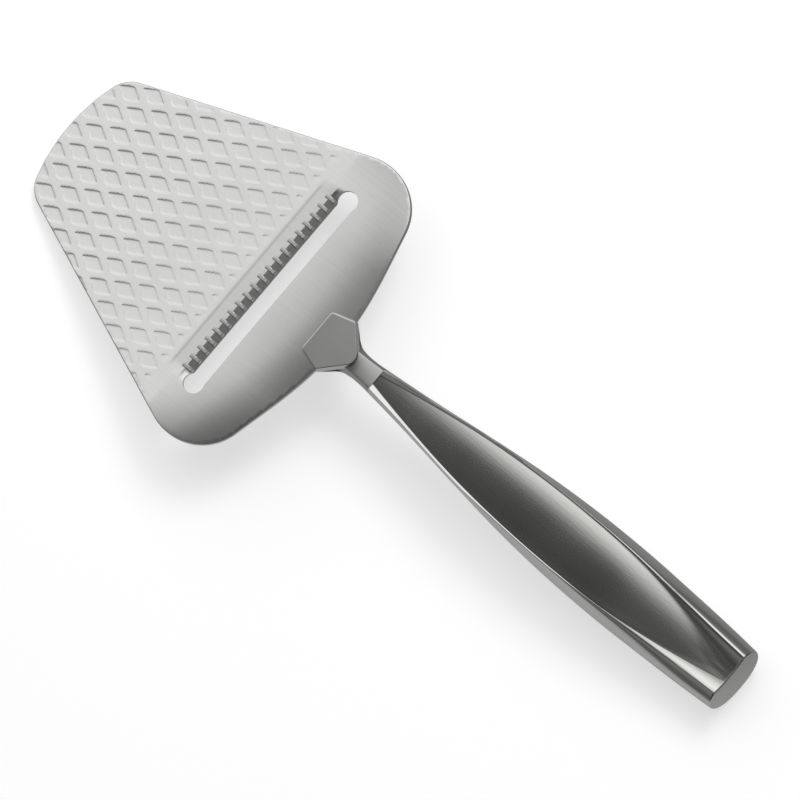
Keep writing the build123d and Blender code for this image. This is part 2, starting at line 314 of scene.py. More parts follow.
print("a rib between its ends is", rib_heights(lip_reach + 4.0, rib_pitch / 2, 0.0).round(2), "mm tall")

# %% The two sides of the sheet
lower_slope, lower_lead = 0.118, 0.23


def upper(reach, side):
    """Height of the upper side: less the dome, the bend, the grinding and the diamonds, plus the ribs."""
    bend = lip_share(reach, side)
    fall = np.tan(lip_angle) * ramp((reach - lip_reach) / crease) * crease
    fall = fall + ledge * smoothstep((reach - lip_reach) / ledge_width + 0.5)
    steeper = np.tan(ground_angle) - np.tan(lip_angle)
    ground = steeper * ramp((reach - knee_reach) / knee_crease) * knee_crease
    rib = rib_heights(reach, side, ground)
    return -droop(reach, side) - bend * (fall + ground) + bend * rib - diamonds(reach, side)


def lower(reach, side):
    """Height of the lower side: parallel to the upper one, but the lip thins to its edge."""
    bend = lip_share(reach, side)
    past_bend = np.clip(reach - lip_reach + lower_lead, 0, None)
    return -sheet - droop(reach, side) - bend * lower_slope * past_bend


edge_thickness = upper(edge_reach, 0.0) - lower(edge_reach, 0.0)
print("the cutting edge is", edge_thickness.round(2), "mm thick")

# %% [markdown]
# ## Points over the plan
# A height field is only as crisp as its points are close, and points are dear, so they go where the
# height changes: along both sides of each diamond's walls, across each rib and along the lip, with a
# plain grid elsewhere. The outline and the slot are fixed edges of the triangulation, and rings just
# inside the outline carry its rolled rim, so the rims stay clean curves.

# %% Inside and how far
chunk = 4000
tiny = 1e-9


def inside(points, polygon):
    """Which points lie in a polygon, by counting the edges that a ray crosses."""
    x, y = points[:, 0, None], points[:, 1, None]
    ax, ay = polygon[:, 0], polygon[:, 1]
    bx, by = np.roll(ax, -1), np.roll(ay, -1)
    crosses = ((ay > y) != (by > y)) & (x < (bx - ax) * (y - ay) / np.where(by == ay, tiny, by - ay) + ax)
    return crosses.sum(1) % 2 == 1


def distance(points, polygon):
    """Distance from points to the nearest edge of a polygon, worked out a chunk of points at a time."""
    a, b = polygon, np.roll(polygon, -1, axis=0)
    d = b - a
    out = np.empty(len(points))
    for k in range(0, len(points), chunk):
        p = points[k : k + chunk, None]
        t = np.clip(((p - a) * d).sum(2) / (d * d).sum(1), 0, 1)
        out[k : k + chunk] = np.linalg.norm(p - (a + t[..., None] * d), axis=2).min(1)
    return out


middle = np.array([[blade_length / 2, 0.0]])
off_slot = distance(middle, slot)[0]
print("the middle is inside:", inside(middle, outline)[0], "and", off_slot.round(1), "mm off the slot")

# %% Where the points go
wall_lines = np.array([0, 0.14, 0.24, 0.294, 0.307, 0.32, 0.333, 0.346, 0.43])
rib_lines = np.array([0.25, 0.40, 0.45, 0.50, 0.54, 0.58, 0.62, 0.70, 1.05])
lip_step, knee_step, knee_start, knee_end = 0.26, 0.14, 69.1, 72.3
edge_rows = [72.35, 72.42, 72.5]
lattice_range, lattice_stop, bend_lead = np.arange(-10, 14), 1.4, 1.2
row_share, grid_half_span = 0.87, 46


def lattice_points():
    """Grid lines along both sides of the diamonds, close together where a pocket's wall falls."""
    lines = np.unique(np.concatenate([wall_lines, -wall_lines, [0.5]]))
    at = (lattice_range[:, None] + lines).ravel()
    u, v = np.meshgrid(at, at)
    u, v = u.ravel(), v.ravel()
    reach = lattice_start + pitch_along * (u + v) / 2
    points = np.stack([reach, pitch_across * (u - v) / 2], -1)
    return points[(reach > -1) & (reach < lip_reach - lattice_stop)]


def lip_points():
    """Rows along the lip and columns that follow the ribs."""
    across = np.concatenate([[-rib_pitch / 2, 0.0], -rib_lines, rib_lines])
    y = (rib_pitch * (np.arange(-1, rib_count + 1) - (rib_count - 1) / 2)[:, None] + across).ravel()
    bend_rows = np.arange(lip_reach - bend_lead, flat_length, lip_step)
    r = np.concatenate([bend_rows, np.arange(knee_start, knee_end, knee_step), edge_rows])
    rr, yy = np.meshgrid(r, y, indexing="ij")
    return np.stack([rr.ravel(), yy.ravel()], -1)


def even_points(low, high, step):
    """A plain grid with every other row shifted by half a step."""
    r = np.arange(low, high, step * row_share)
    y = np.arange(-grid_half_span, grid_half_span, step)
    rr, yy = np.meshgrid(r, y, indexing="ij")
    yy = yy + (np.arange(len(r)) % 2)[:, None] * step / 2
    return np.stack([rr.ravel(), yy.ravel()], -1)


def keep_clear(points, edge_gap, slot_gap):
    """Drops points outside the blade or too near a rim that has its own points."""
    points = points[inside(points, outline)]
    points = points[~inside(points, slot)]
    points = points[distance(points, outline) > edge_gap]
    return points[distance(points, slot) > slot_gap]


def inset_ring(polygon, amount):
    """The polygon moved inwards along its corner normals."""
    d = np.roll(polygon, -1, axis=0) - np.roll(polygon, 1, axis=0)
    normal = np.stack([d[:, 1], -d[:, 0]], -1) / np.linalg.norm(d, axis=1)[:, None]
    test = polygon + 0.5 * normal
    sign = 1 if inside(test[:1], polygon)[0] else -1
    return polygon + sign * amount * normal


print("before clearing:", len(lattice_points()), "points on the diamonds,", len(lip_points()), "on the lip")

# %% The triangles
merge_distance, least_area = 1e-6, 1e-6


def triangulate(points, rings):
    """Triangles over points whose rings of fixed edges come first. The first ring is the outline and
    the last is the hole. Triangles of no area, between points in line, are dropped. The others are
    turned to face up, which is clockwise in the plan, because reach runs against X."""
    edges, first = [], 0
    for ring in rings:
        n = len(ring)
        edges += [(first + k, first + (k + 1) % n) for k in range(n)]
        first += n
    _, _, faces, orig, _, _ = delaunay_2d_cdt(points.tolist(), edges, [], 0, merge_distance)
    index = np.array([o[0] for o in orig])
    tri = index[np.array([list(f) for f in faces])]
    centres = points[tri].mean(1)
    tri = tri[inside(centres, rings[0]) & ~inside(centres, rings[-1])]
    a, b, c = points[tri[:, 0]], points[tri[:, 1]], points[tri[:, 2]]
    turn = (b[:, 0] - a[:, 0]) * (c[:, 1] - a[:, 1]) - (b[:, 1] - a[:, 1]) * (c[:, 0] - a[:, 0])
    tri[turn > 0] = tri[turn > 0][:, ::-1]
    return tri[np.abs(turn) > least_area]


def rim_faces(upper_ring, lower_ring, polygon, outwards):
    """Quads from an upper ring to the lower one, facing out of the sheet."""
    x, y = polygon[:, 0], polygon[:, 1]
    area = (x * np.roll(y, -1) - np.roll(x, -1) * y).sum()
    a, b = upper_ring, np.roll(upper_ring, -1)
    c, d = np.roll(lower_ring, -1), lower_ring
    quads = np.stack([a, b, c, d], -1)
    return (quads if (area > 0) == outwards else quads[:, ::-1]).tolist()


square = np.array([[0.0, 0.0], [4.0, 0.0], [4.0, 4.0], [0.0, 4.0]])
hole = square / 2 + 1
print("a square with a hole takes", len(triangulate(np.vstack([square, hole]), [square, hole])), "triangles")

# %% [markdown]
# ## The blade as one mesh
# Solidify could thicken a single sheet, but the lip thins to an edge and the upper rim is rolled over
# by the press, so each side has a mesh of its own. They are sewn together along the outline and along
# the slot, which closes the blade.

# %% The blade
rim_turns = np.radians([30, 60, 90])
fine_step, coarse_step = 0.9, 2.2
fine_lead, lip_end, lip_lead, lip_behind = 1.3, 31.9, 1.25, 66.0
rim_gap, slot_gap_top, under_start, under_rim_gap, under_slot_gap = 0.16, 0.1, 1.0, 0.8, 0.6
same_place, blade_sharp = 0.02, 34.0


def top_field():
    """Every point of the upper side that isn't on a rim, thinned where two lie in the same place."""
    field = np.concatenate([
        lattice_points(), lip_points(), even_points(lip_reach - fine_lead, blade_length, fine_step),
    ])
    reach, side = field[:, 0], field[:, 1]
    beside_lip = (np.abs(side) > lip_end) & (reach > lip_reach - lip_lead) & (reach < lip_behind)
    field = keep_clear(field[~beside_lip], rim + rim_gap, slot_gap_top)
    key = np.round(field / same_place).astype(int)
    return field[np.unique(key, axis=0, return_index=True)[1]]


def blade_piece():
    """Both height fields, joined by the rims of the outline and of the slot. The upper rim is rolled:
    each ring goes in by 1 less the cosine of its turn and comes up by the sine, times the rim."""
    insets = rim * (1 - np.cos(rim_turns))
    drops = np.concatenate([[rim], rim * (1 - np.sin(rim_turns))])
    rings = [outline] + [inset_ring(outline, d) for d in insets]
    top = np.concatenate(rings + [slot, top_field()])
    drop = np.zeros(len(top))
    drop[: len(rings) * len(outline)] = np.repeat(drops, len(outline))
    coarse = even_points(under_start, blade_length, coarse_step)
    under = np.concatenate([outline, slot, keep_clear(coarse, under_rim_gap, under_slot_gap)])
    n_top, n_out, n_slot = len(top), len(outline), len(slot)
    points = np.concatenate([
        blade_to_world(top[:, 0], top[:, 1], upper(top[:, 0], top[:, 1]) - drop),
        blade_to_world(under[:, 0], under[:, 1], lower(under[:, 0], under[:, 1])),
    ])
    faces = triangulate(top, rings + [slot]).tolist()
    faces += (triangulate(under, [outline, slot])[:, ::-1] + n_top).tolist()
    faces += rim_faces(np.arange(n_out), np.arange(n_out) + n_top, outline, True)
    slot_top = len(rings) * n_out + np.arange(n_slot)
    faces += rim_faces(slot_top, n_top + n_out + np.arange(n_slot), slot, False)
    return make_piece("blade_skin", points, faces, blade_sharp)


blade = blade_piece()
print("blade skin:", len(blade.data.polygons), "faces")

# %% [markdown]
# ## The handle
# The real handle is two pressings, soldered together and polished until the seam is gone. Its upper
# half carries a slim leaf that lies in a hollow between two ridges. Each pressing could be modelled
# by pulling on a subdivided box, but it is a sweep here: one section with named points, whose sizes
# run smoothly from station to station along the length.

# %% The run of the sizes along the handle
# The two shells meet on a parting plane, which falls from the handle's front to its end.
front_past_middle = 5.9
front_height, end_height = 14.5 + rest_z, 6.9 + rest_z
half_width, crest_height, full_depth = 11.05, 5.6, 8.6
end_lean, cap_thickness = np.radians(14.0), 1.6
handle_front = front_past_middle + nose_x - overall_length / 2
handle_run = overall_length / 2 + front_past_middle
handle_fall = np.arctan((front_height - end_height) / handle_run)
handle_length = np.hypot(handle_run, front_height - end_height)
# Width, ridge and leaf are shares of the half width, crest of the crest height, depth of the full depth.
stations = np.array([0.0, 0.12, 0.26, 0.40, 0.54, 0.68, 0.80, 0.90, 1.02])
width_shares = np.array([0.353, 0.498, 0.70, 0.878, 0.98, 1.0, 0.96, 0.912, 0.815])
ridge_shares = np.array([0.276, 0.443, 0.66, 0.765, 0.796, 0.769, 0.67, 0.588, 0.525])
leaf_shares = np.array([0.127, 0.38, 0.602, 0.724, 0.760, 0.718, 0.556, 0.353, 0.06])
crest_shares = np.array([0.607, 0.70, 0.857, 0.964, 1.0, 0.946, 0.857, 0.786, 0.70])
depth_shares = np.array([0.453, 0.558, 0.733, 0.884, 0.977, 1.0, 0.919, 0.849, 0.797])


def along(shares, at, places=stations):
    """A smooth curve through the stations: each span is a cubic with the slopes of its neighbours."""
    h, d = np.diff(places), np.diff(shares) / np.diff(places)
    inner = (d[:-1] * h[1:] + d[1:] * h[:-1]) / (h[1:] + h[:-1])
    m = np.concatenate([[2 * d[0] - inner[0]], inner, [2 * d[-1] - inner[-1]]])
    k = np.clip(np.searchsorted(places, at, side="right") - 1, 0, len(h) - 1)
    t = (at - places[k]) / h[k]
    return (shares[k] * (1 + 2 * t) * (1 - t) ** 2 + m[k] * h[k] * t * (1 - t) ** 2
            + shares[k + 1] * t * t * (3 - 2 * t) + m[k + 1] * h[k] * t * t * (t - 1))


print("handle:", round(handle_length, 1), "mm long, falls by", round(np.degrees(handle_fall), 2), "degrees")

# %% [markdown]
# ## The section of the handle
# Cut across, the top of the handle is a row of curves that meet in ridges: a round shoulder, the wall
# of the hollow, and the leaf. Polishing has softened the ridges, most of all near the end, where the
# leaf runs out. A bevel has one width along a ridge, so the profile is averaged over a width that
# changes along the handle instead, which is what a polishing wheel does.

# %% The upper side's section
hollow_share, leaf_crown, straight_share = 0.2, 90.0, 0.35
shoulder_places = np.array([0, 0.08, 0.17, 0.27, 0.38, 0.5, 0.61, 0.71, 0.8, 0.87, 0.92, 0.96, 0.985])
wall_places = np.array([0, 0.06, 0.14, 0.25, 0.4, 0.6, 0.75, 0.86, 0.94, 1.0])
leaf_places = np.array([0.985, 0.96, 0.92, 0.86, 0.77, 0.66, 0.53, 0.4, 0.27, 0.13])
polish_weights = {-1.0: 0.12, -0.5: 0.23, 0.0: 0.3, 0.5: 0.23, 1.0: 0.12}
polish_front, polish_gain, polish_start, polish_run = 0.18, 0.70, 0.5, 0.4
tip_polish, tip_start, tip_run, edge_keep = 3.4, 0.74, 0.22, 1.2


def profile(y, b, l, c, g):
    """Height at side y, for half width b, leaf l, ridge c and crest g. The leaf is a slight crown, the
    hollow is a parabola between the ridges, and the shoulder is an arc that is drawn a little straight."""
    y = np.abs(y)
    edge = g - hollow_share * c * (1 - (l / c) ** 2)
    hollow = g - hollow_share * c * (1 - (y / c) ** 2)
    leaf = edge + (l * l - y * y) / leaf_crown
    r = ((b - c) ** 2 + g * g) / (2 * (b - c))
    shoulder = np.sqrt(np.clip(r * r - (y - b + r) ** 2, 0, None))
    shoulder = shoulder + straight_share * (g * np.clip((b - y) / (b - c), 0, 1) - shoulder)
    return np.where(y < l, leaf, np.where(y < c, hollow, shoulder))


def polish_width(s, y, b, c):
    """How far the polishing softens a ridge: little in front, more behind, most at the leaf's tip."""
    late = smoothstep((s - tip_start) / tip_run) * np.clip(1 - np.abs(y) / c, 0, 1)
    width = polish_front + polish_gain * smoothstep((s - polish_start) / polish_run) + tip_polish * late
    return width * np.clip((b - np.abs(y)) / edge_keep, 0, 1)


def upper_section(s):
    """Points across the upper side at each share s, from the left edge to the right. A height is the
    weighted mean of the profile at five places, spread as wide as the polishing."""
    b, l, c = (half_width * along(v, s)[:, None] for v in (width_shares, leaf_shares, ridge_shares))
    g = crest_height * along(crest_shares, s)[:, None]
    r = ((b - c) ** 2 + g * g) / (2 * (b - c))
    top = np.arcsin(np.clip(g / r, 0, 1))
    shoulder = b - r * (1 - np.cos(top * shoulder_places))
    wall = c + (l - c) * wall_places
    half = np.concatenate([shoulder, wall, l * leaf_places], axis=1)
    y = np.concatenate([half, 0 * l, -half[:, ::-1]], axis=1)
    blur = polish_width(s[:, None], y, b, c)
    z = sum(w * profile(y + k * blur, b, l, c, g) for k, w in polish_weights.items())
    z[:, [0, -1]] = 0.0
    return y, z


print("points across the upper side:", upper_section(np.array([0.5]))[0].shape[1])

# %% The underside's section
under_points, fullness = 41, 2.3


def lower_section(s):
    """The underside from the right edge to the left: half an oval whose power is a little over 2."""
    half, deep = half_width * along(width_shares, s)[:, None], full_depth * along(depth_shares, s)[:, None]
    a = np.linspace(np.pi, 2 * np.pi, under_points)
    full = (np.abs(np.cos(a)) ** fullness + np.abs(np.sin(a)) ** fullness) ** (-1 / fullness)
    return half * np.cos(a) * full, deep * np.sin(a) * full


print("deepest point halfway along:", lower_section(np.array([0.5]))[1].min().round(2), "mm")

# %% [markdown]
# ## The sweep
# Blender can carry one curve along another, but here the sizes change on the way, and the sweep ends
# on a leaning plane, where the cap sits. So each line of the section is followed to the place where
# it meets that plane, and the rows are spread evenly up to there.

# %% The sweep
end_passes, top_rows, under_rows, shell_sharp = 6, 130, 90, 30.0


def to_world(back, y, z):
    """From distance back, side and height over the parting plane to the shared frame."""
    x = handle_front - back * np.cos(handle_fall) - z * np.sin(handle_fall)
    height = front_height - back * np.sin(handle_fall) + z * np.cos(handle_fall)
    return np.stack([x, y + 0 * x, height], -1)


def leaning_end(section, gap):
    """The share at which each line of the section meets the leaning plane a gap before the end. Each
    pass moves a share by what its point still lacks, which soon comes to nothing."""
    last = np.ones(section(np.array([0.5]))[0].shape[1])
    for _ in range(end_passes):
        y, z = section(last)
        p = to_world(handle_length * last, np.diagonal(y), np.diagonal(z))
        rise = (p[:, 2] - rest_z) * np.sin(end_lean)
        off = (p[:, 0] - (nose_x - overall_length)) * np.cos(end_lean) - rise - gap
        last = last + off / handle_length
    return last


def sweep(section, start_gap, stop_gap, rows):
    """Points of a section swept to the leaning plane a gap before the end. It starts at the handle's
    front, or at another leaning plane where a start gap is given."""
    far = leaning_end(section, stop_gap)
    near = np.zeros(len(far)) if start_gap is None else leaning_end(section, start_gap)
    s = near + (far - near) * np.linspace(0, 1, rows)[:, None]
    flat = section(s.ravel())
    pick = np.arange(s.size), np.tile(np.arange(s.shape[1]), rows)
    y, z = flat[0][pick].reshape(s.shape), flat[1][pick].reshape(s.shape)
    return to_world(handle_length * s, y, z)


def closed_sweep(name, points):
    """A closed solid skin: the swept rings and a flat face at each end."""
    rows, columns = points.shape[:2]
    faces = ring_faces(rows, columns)
    faces.append(list(range(columns)))
    faces.append(list(range((rows - 1) * columns, rows * columns))[::-1])
    return make_piece(name, points.reshape(-1, 3), faces, shell_sharp)


top_shell = closed_sweep("handle_top_skin", sweep(upper_section, None, cap_thickness, top_rows))
under_shell = closed_sweep("handle_under_skin", sweep(lower_section, None, cap_thickness, under_rows))
print("handle skins:", len(top_shell.data.polygons), len(under_shell.data.polygons), "faces")

# %% [markdown]
# ## The end cap
# A flat plate closes the handle and leans a little. The polishing has rolled its rim over, and that
# roll is what catches the light round the end. It is the last slice of the same sweep, so it can't
# miss the shells, with a quarter turn of rings for the rim.

# %% The cap
cap_rim, cap_rows = 0.38, 4
cap_turns = np.radians([22.5, 45, 67.5, 90])[:, None, None]


def whole_section(s):
    """The upper and the lower side as one ring."""
    yu, zu = upper_section(s)
    yl, zl = lower_section(s)
    return np.concatenate([yu, yl[:, 1:-1]], axis=1), np.concatenate([zu, zl[:, 1:-1]], axis=1)


def cap_piece():
    """The last slice of the sweep, a rolled rim and the flat end face. A ring of the rim goes out by
    the sine of its turn and in by 1 less the cosine, times the rim's radius."""
    body = sweep(whole_section, cap_thickness, cap_rim, cap_rows)
    last = sweep(whole_section, cap_thickness, 0.0, 2)[-1]
    outward = np.array([-np.cos(end_lean), 0, np.sin(end_lean)])
    d = np.roll(last, -1, axis=0) - np.roll(last, 1, axis=0)
    inward = np.cross(outward, d)
    inward /= np.linalg.norm(inward, axis=1)[:, None]
    inward *= np.sign(((last.mean(0) - last) * inward).sum(1).mean())
    roll = body[-1] + (last - body[-1]) * np.sin(cap_turns) + inward * cap_rim * (1 - np.cos(cap_turns))
    return closed_sweep("handle_end_skin", np.concatenate([body, roll]))


end_cap = cap_piece()
print("cap:", len(end_cap.data.polygons), "faces")

# %% [markdown]
# ## The neck casting
# On the real tool one casting joins the blade to the handle. Two five-sided pads clasp the blade's
# back edge from above and below, and a short neck runs from them into the handle. A pad is a stack
# of rings: its walls lean in and its edge is softened. The neck is a sweep again, which starts with
# the handle's first sizes and flares out under the pads.

# %% The pads
pad_corners = np.array([[7.2, 6.4], [0.0, 8.5], [-8.0, 0.0], [0.0, -8.5], [7.2, -6.4]])
pad_rounds = [1.4, 0.9, 3.4, 0.9, 1.4]
corner_points, least_round = 10, 0.08
pad_edge, pad_draft, pad_tilt = 0.18, np.radians(14.0), np.radians(2.0)
pad_turns, edge_lean_share, top_step = np.radians([25, 50, 70, 90]), 0.25, 0.03
pad_reach, pad_middle, pad_rise, pad_drop = 98.35, -0.55, 1.5, 2.2
pad_at = blade_to_world(np.array([pad_reach]), np.array([0.0]), np.array([-back_droop]))[0]
pad_x, pad_z = pad_at[0], pad_at[2]


def pad_ring(inset):
    """The pad's plan moved in by an inset. Each corner is an arc that touches both of its sides."""
    ring = []
    for k, radius in enumerate(pad_rounds):
        here, before, after = pad_corners[k], pad_corners[k - 1], pad_corners[(k + 1) % len(pad_rounds)]
        a = (before - here) / np.linalg.norm(before - here)
        b = (after - here) / np.linalg.norm(after - here)
        half = np.arccos(a @ b) / 2
        inwards = (a + b) / np.linalg.norm(a + b)
        corner = here + inwards * inset / np.sin(half)
        left = max(radius - inset, least_round)
        centre = corner + inwards * left / np.sin(half)
        start = angle_to(centre, corner + a * left / np.tan(half))
        end = angle_to(centre, corner + b * left / np.tan(half))
        turn = (end - start + np.pi) % (2 * np.pi) - np.pi
        ring.append(arc(centre, left, start, start + turn, corner_points))
    return np.concatenate(ring)


def pad_piece(name, top):
    """A prism from the middle of the sheet to a height over it, with drafted walls and a soft edge."""
    rise, sign = abs(top - pad_middle), np.sign(top - pad_middle)
    lean = (rise - pad_edge) * np.tan(pad_draft)
    soft = pad_edge * np.sin(pad_turns)
    ups = np.concatenate([[0.0, rise - pad_edge], rise - pad_edge + soft, [rise]])
    insets = np.concatenate([[0.0, lean], lean + pad_edge * (1 - np.cos(pad_turns)) + edge_lean_share * soft])
    insets = np.append(insets, insets[-1] + top_step)
    rings = [pad_ring(inset) for inset in insets]
    points = np.array([
        np.column_stack([ring, np.full(len(ring), pad_middle + sign * up)]) for ring, up in zip(rings, ups)])
    x = pad_x + points[..., 0] * np.cos(pad_tilt) + points[..., 2] * np.sin(pad_tilt)
    z = pad_z - points[..., 0] * np.sin(pad_tilt) + points[..., 2] * np.cos(pad_tilt)
    world = np.stack([x, points[..., 1], z], -1)
    return closed_sweep(name, world[:, ::-1] if sign > 0 else world)


print("the pads stand at", pad_at.round(2), "mm, with", len(pad_ring(0.0)), "points round")

# %% The neck
neck_stations = np.array([0.0, 0.25, 0.5, 0.64, 0.74, 0.84, 1.0])
neck_widths = np.array([1.0, 0.93, 0.96, 1.08, 1.31, 1.64, 2.12])
neck_ridges = np.array([1.0, 0.92, 0.90, 0.90, 0.90, 0.90, 0.90])
neck_crests = np.array([1.0, 0.86, 0.74, 0.72, 0.70, 0.64, 0.45])
neck_depths = np.array([1.0, 0.91, 0.83, 0.77, 0.72, 0.65, 0.45])
neck_flanks = np.array([0.63, 0.60, 0.53, 0.46, 0.42, 0.40, 0.38])
neck_rows, flank_points, crown_points, belly_points = 60, 15, 14, 33
crown_share, crown_start, soft_passes, clasp_drop = 0.10, 0.06, 5, 0.5


def bow(half, deep, count):
    """A circular arc through both edges of a section and its lowest point."""
    r = (half**2 + deep**2) / (2 * deep)
    turn = np.arcsin(np.clip(half / r, 0, 1))
    turn = np.where(deep > half, np.pi - turn, turn)
    a = turn * np.linspace(-1, 1, count)
    return r * np.sin(a), r - deep - r * np.cos(a)


def neck_section(t):
    """The section at each share t. A flank is a parabola through its two ends and the point that its
    share names, so it turns hollow towards the pads. The crown is a low parabola. A few passes of the
    mean with both neighbours soften the ridges."""
    wide, ridge, tall, low, flank = (
        along(v, t, neck_stations) for v in (neck_widths, neck_ridges, neck_crests, neck_depths, neck_flanks))
    b, c = half_width * width_shares[0] * wide, half_width * ridge_shares[0] * ridge
    g, deep = crest_height * crest_shares[0] * tall, full_depth * depth_shares[0] * low
    q = np.linspace(0, 1, flank_points)[None, :-1]
    m = 2 * flank - 0.5
    side = b * (1 - q) ** 2 + 2 * (c + (b - c) * m) * q * (1 - q) + c * q * q
    rise = 2 * g * m * q * (1 - q) + g * q * q
    top = c * np.linspace(1, crown_start, crown_points)
    crown = g + crown_share * c * (1 - (top / c) ** 2)
    y = np.concatenate([side, top, 0 * b, -top[:, ::-1], -side[:, ::-1]], axis=1)
    z = np.concatenate([rise, crown, g + crown_share * c, crown[:, ::-1], rise[:, ::-1]], axis=1)
    for _ in range(soft_passes):
        z[:, 1:-1] = (z[:, :-2] + 2 * z[:, 1:-1] + z[:, 2:]) / 4
    yl, zl = bow(b, deep, belly_points)
    return np.concatenate([y, yl[:, 1:-1]], axis=1), np.concatenate([z, zl[:, 1:-1]], axis=1)


def neck_points():
    """The section swept from the handle's front to the pads. Its middle line rises with the cube of
    the share, so it leaves the handle straight and turns up late."""
    t = np.linspace(0, 1, neck_rows)[:, None]
    y, z = neck_section(t)
    lean = handle_fall * (1 - t)
    x = handle_front + (pad_x - handle_front) * t
    clasp = pad_z - sheet / 2 - clasp_drop * (1 - t)
    height = front_height + (clasp - front_height) * t**3
    return np.stack([x - z * np.sin(lean), y, height + z * np.cos(lean)], -1)


neck = closed_sweep("neck_skin", neck_points()[::-1])
upper_pad = pad_piece("pad_upper_skin", pad_rise)
lower_pad = pad_piece("pad_lower_skin", -sheet - pad_drop)
print("neck:", len(neck.data.polygons), "faces, pads:", len(upper_pad.data.polygons), "faces each")

# %% [markdown]
# ## Steel
# Every piece is the same stainless steel, finished in a different way: the blade is brushed, and the
# casting and the handle are polished until only fine drawn lines are left. The neck's colour is darker
# than the rest, and that is painted shade: it dims the bright sky that the neck mirrors. A photograph
# of brushed steel would only fit one surface, so the grain is noise, stretched along the slicer. It
# moves the colour and the surface a little, and a slower cloud moves the roughness, as on steel in use.

# %% Materials
tone_spread, rough_spread, cloud_scale, grain_height = 0.045, 0.05, 45.0, 0.00002


def new_node(nodes, kind, **values):
    """A node with the named inputs set."""
    node = nodes.new(kind)
    for label, value in values.items():
        node.inputs[label.replace("_", " ")].default_value = value
    return node


def steel(name, colour, roughness, grain, stretch=(30.0, 1400.0, 1400.0)):
    """Bare metal. Stretch is the noise's scale along X, Y and Z: the smallest is the way of the grain."""
    material = bpy.data.materials.new(name)
    material.use_nodes = True
    nodes, links = material.node_tree.nodes, material.node_tree.links
    shader = nodes["Principled BSDF"]
    shader.inputs["Metallic"].default_value = 1.0
    where = nodes.new("ShaderNodeTexCoord")
    scale = new_node(nodes, "ShaderNodeMapping", Scale=stretch)
    fine = new_node(nodes, "ShaderNodeTexNoise", Scale=1.0, Detail=3.0)
    cloud = new_node(nodes, "ShaderNodeTexNoise", Scale=cloud_scale, Detail=2.0)
    tone = nodes.new("ShaderNodeMix")
    tone.data_type = "RGBA"
    tone.inputs["A"].default_value = (*(c * (1 - tone_spread) for c in colour), 1)
    tone.inputs["B"].default_value = (*(c * (1 + tone_spread) for c in colour), 1)
    low, high = roughness - rough_spread, roughness + rough_spread
    rough = new_node(nodes, "ShaderNodeMapRange", To_Min=low, To_Max=high)
    bump = new_node(nodes, "ShaderNodeBump", Strength=grain, Distance=grain_height)
    links.new(where.outputs["Object"], scale.inputs["Vector"])
    links.new(scale.outputs["Vector"], fine.inputs["Vector"])
    links.new(where.outputs["Object"], cloud.inputs["Vector"])
    links.new(fine.outputs["Fac"], tone.inputs["Factor"])
    links.new(tone.outputs["Result"], shader.inputs["Base Color"])
    links.new(cloud.outputs["Fac"], rough.inputs["Value"])
    links.new(rough.outputs["Result"], shader.inputs["Roughness"])
    links.new(fine.outputs["Fac"], bump.inputs["Height"])
    links.new(bump.outputs["Normal"], shader.inputs["Normal"])
    return material


blade_steel = steel("blade_steel", (0.66, 0.66, 0.645), 0.26, 0.14, (40.0, 1500.0, 25.0))
cast_steel = steel("cast_steel", (0.66, 0.66, 0.645), 0.24, 0.25)
# Painted shade: the neck's colour is darker than the other steel's, to dim the bright sky that its crown
# mirrors.
neck_steel = steel("neck_steel", (0.42, 0.42, 0.41), 0.34, 0.25)
handle_steel = steel("handle_steel", (0.62, 0.62, 0.60), 0.18, 0.36, (90.0, 1900.0, 1900.0))
print("finishes:", [m.name for m in (blade_steel, cast_steel, neck_steel, handle_steel)])

# %% [markdown]
# ## Dress the frame
# Each skin takes its steel, rides on the slicer's one body, and names the material slot and the CAD
# solid that it stands for. The two pads belong to the same casting as the neck, which already
# replaces the casting's solid, so they replace nothing more.

# %% Dress the frame
dressed = [
    (blade, blade_steel, "blade_steel", ["slicing_blade"]),
    (neck, neck_steel, "neck_steel", ["cast_neck"]),
    (upper_pad, cast_steel, "neck_steel", []),
    (lower_pad, cast_steel, "neck_steel", []),
    (top_shell, handle_steel, "handle_steel", ["handle_top_shell"]),
    (under_shell, handle_steel, "handle_steel", ["handle_under_shell"]),
    (end_cap, handle_steel, "handle_steel", ["handle_end_cap"]),
]
for obj, material, slot_name, replaced in dressed:
    obj.data.materials.append(material)
    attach(obj, "root")
    if replaced:
        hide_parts(*replaced)
print("dressed:", [obj.name for obj, _, _, _ in dressed])

# %% [markdown]
# ## The floor
# The slicer lies on white paper. Seen by the camera the paper has to be white, but it must keep the
# slicer's shadow, so a glow is added to the matt paper for the camera's rays alone. Steel mirrors the
# paper too, and there a plain glow that changes across the floor stands for it, brightest just left
# of the slicer.

# %% Ramps of light
mirrored_levels = [
    (-1, .12), (-.25, .18), (-.05, .27), (.0, .36), (.03, .52), (.10, .48), (.30, .22), (1, .12)]


def ramp_over(nodes, links, socket, low, high, stops):
    """Levels along one measure: straight lines between the stops."""
    share = new_node(nodes, "ShaderNodeMapRange", From_Min=low, From_Max=high)
    levels = nodes.new("ShaderNodeValToRGB")
    while len(levels.color_ramp.elements) < len(stops):
        levels.color_ramp.elements.new(0.5)
    for element, (at, level) in zip(levels.color_ramp.elements, stops):
        element.position = (at - low) / (high - low)
        element.color = (level, level, level, 1.0)
    links.new(socket, share.inputs["Value"])
    links.new(share.outputs["Result"], levels.inputs["Fac"])
    return levels.outputs["Color"]


def math_node(nodes, links, operation, *sockets):
    """A Math node that takes one or two sockets."""
    node = nodes.new("ShaderNodeMath")
    node.operation = operation
    for socket, into in zip(sockets, node.inputs):
        links.new(socket, into)
    return node.outputs[0]


print("mirrored in steel the paper is at most", max(level for _, level in mirrored_levels))

# %% The paper
floor_reach = 3.0
paper_tone, paper_roughness, paper_gloss, camera_glow = 0.72, 0.9, 0.1, 0.565


